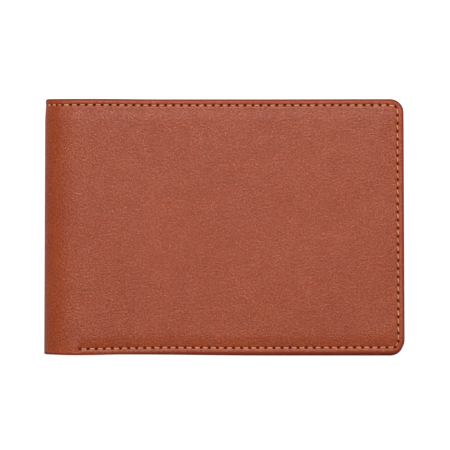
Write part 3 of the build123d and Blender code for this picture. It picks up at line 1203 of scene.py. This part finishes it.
def edge_thread(half):
    """The side and bottom seams, seen on the outside and on the pockets."""
    outside = [(a, b, outer_level, 1, side_slant) for a, b in side_stitches]
    outside += [(a, b, outer_level, 1, 0) for a, b in corner_stitches]
    outside += [(a, b, outer_level, 1, bottom_slant) for a, b in bottom_stitches]
    inside = []
    for face, high, low in zip(step_faces, step_edges, step_edges[1:]):
        stitches, _ = row((side_seam_s, high), (side_seam_s, low))
        inside += [(a, b, face - inner_sink, -1, step_slant) for a, b in stitches]
    stitches, _ = row((side_seam_s, bottom_seam_y), foot)
    inside += [(a, b, step_faces[-1] - inner_sink, -1, inner_slant) for a, b in stitches]
    piece = thread(f"edge_thread_{half}", half, outside + inside)
    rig.ride(piece, BODY[half])
    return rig.replaces(piece, f"{half}_edge_thread")


def inside_thread(name, half, runs):
    """Stitches that are seen only on the pockets."""
    stitches = []
    for start, end, face in runs:
        found, _ = row(start, end)
        stitches += [(a, b, face - inner_sink, -1, inner_slant) for a, b in found]
    piece = thread(f"{name}_{half}", half, stitches)
    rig.ride(piece, BODY[half])
    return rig.replaces(piece, f"{half}_{name}")


for half in ("rear", "front"):
    cover(half)
    lining(half)
    wall_lining(half)
    inner_wall(half)
    for number in range(4):
        stack_panel(half, number)
    rim_thread(half)
    edge_thread(half)
    wall_run = [((stack_seam_s, wall_seam_y), (side_seam_s, wall_seam_y), slip_panel_face)]
    inside_thread("wall_thread", half, wall_run)
    steps = list(zip(step_faces, step_edges, step_edges[1:]))[1:]
    stack_runs = [((stack_seam_s, high), (stack_seam_s, low), face) for face, high, low in steps]
    inside_thread("stack_thread", half, stack_runs)


# The floor, the light and the camera. Places and sizes here are in metres.

wall_light, ceiling_light = 0.42, 0.05
wall_fade = (0.05, 0.35)  # the sines of the heights between which the walls grow dim
floor_light, floor_seen = 0.35, 0.95  # the floor's own light on the wallet and to the camera
floor_reach = 3.0
camera_distance = 1.5  # above the wallet's upper face
view_width = 0.1449  # of the picture at that face
view_centre = (0.00029, 0.00062)


def floor():
    """A plain pale floor under the wallet."""
    mesh = bpy.data.meshes.new("floor")
    corners = [(-1, -1, 0), (1, -1, 0), (1, 1, 0), (-1, 1, 0)]
    mesh.from_pydata(np.array(corners) * floor_reach, [], [(0, 1, 2, 3)])
    made = bpy.data.objects.new("floor", mesh)
    bpy.context.scene.collection.objects.link(made)
    material, shader, add = tree_of("pale_floor")
    feed(shader.inputs["Base Color"], (0.35, 0.35, 0.35, 1))
    feed(shader.inputs["Roughness"], 0.9)
    feed(shader.inputs["Specular IOR Level"], 0.1)
    feed(shader.inputs["Emission Color"], (1, 1, 1, 1))
    seen = add("ShaderNodeLightPath").outputs["Is Camera Ray"]
    strength = spread(add, seen, 0, 1, floor_light, floor_seen)
    feed(shader.inputs["Emission Strength"], strength)
    mesh.materials.append(material)
    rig.stage(made)


def area_light(name, place_m, size, power):
    """A large soft lamp that points at the wallet."""
    lamp = bpy.data.lights.new(name, "AREA")
    lamp.shape = "DISK"
    lamp.size = size
    lamp.energy = power
    made = bpy.data.objects.new(name, lamp)
    bpy.context.scene.collection.objects.link(made)
    made.location = place_m
    made.visible_camera = False
    made.rotation_mode = "QUATERNION"
    made.rotation_quaternion = (-Vector(place_m)).to_track_quat("-Z", "Y")


def studio_walls():
    """Pale round the horizon and dim overhead, so that the sides are lit softly. The camera
    itself sees plain white."""
    world = bpy.data.worlds.new("studio")
    world.use_nodes = True
    tree = world.node_tree
    sky = tree.nodes["Background"]
    feed(sky.inputs["Color"], (1, 1, 1, 1))
    direction = tree.nodes.new("ShaderNodeTexCoord").outputs["Generated"]
    split = tree.nodes.new("ShaderNodeSeparateXYZ")
    wall = tree.nodes.new("ShaderNodeMapRange")
    feed(wall.inputs["From Min"], wall_fade[0])
    feed(wall.inputs["From Max"], wall_fade[1])
    feed(wall.inputs["To Min"], wall_light)
    feed(wall.inputs["To Max"], ceiling_light)
    seen = tree.nodes.new("ShaderNodeLightPath").outputs["Is Camera Ray"]
    level = tree.nodes.new("ShaderNodeMapRange")
    feed(level.inputs["To Max"], 1.0)
    feed(split.inputs["Vector"], direction)
    feed(wall.inputs["Value"], split.outputs["Z"])
    feed(level.inputs["To Min"], wall.outputs["Result"])
    feed(level.inputs["Value"], seen)
    feed(sky.inputs["Strength"], level.outputs["Result"])
    bpy.context.scene.world = world


def look_down():
    """The camera, straight above the wallet as in the photo."""
    lens = bpy.data.cameras.new("camera")
    lens.lens = lens.sensor_width * camera_distance / view_width
    lens.clip_start = 0.01
    camera = bpy.data.objects.new("camera", lens)
    bpy.context.scene.collection.objects.link(camera)
    camera.location = (*view_centre, closed_thickness * MM + camera_distance)
    bpy.context.scene.camera = camera


floor()
area_light("key", (0.0, 0.50, 0.87), 0.35, 9.3)
area_light("overhead", (0.0, 0.05, 0.80), 0.30, 0.42)
area_light("fill", (0.0, -0.90, 0.30), 0.5, 1.2)
studio_walls()
look_down()
bpy.context.scene.view_settings.view_transform = "Standard"

boxes = {"cad": [list(c) for c in cad_box], "visual": [list(c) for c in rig.bounds()]}
with open("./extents.json", "w") as out:
    json.dump(boxes, out)
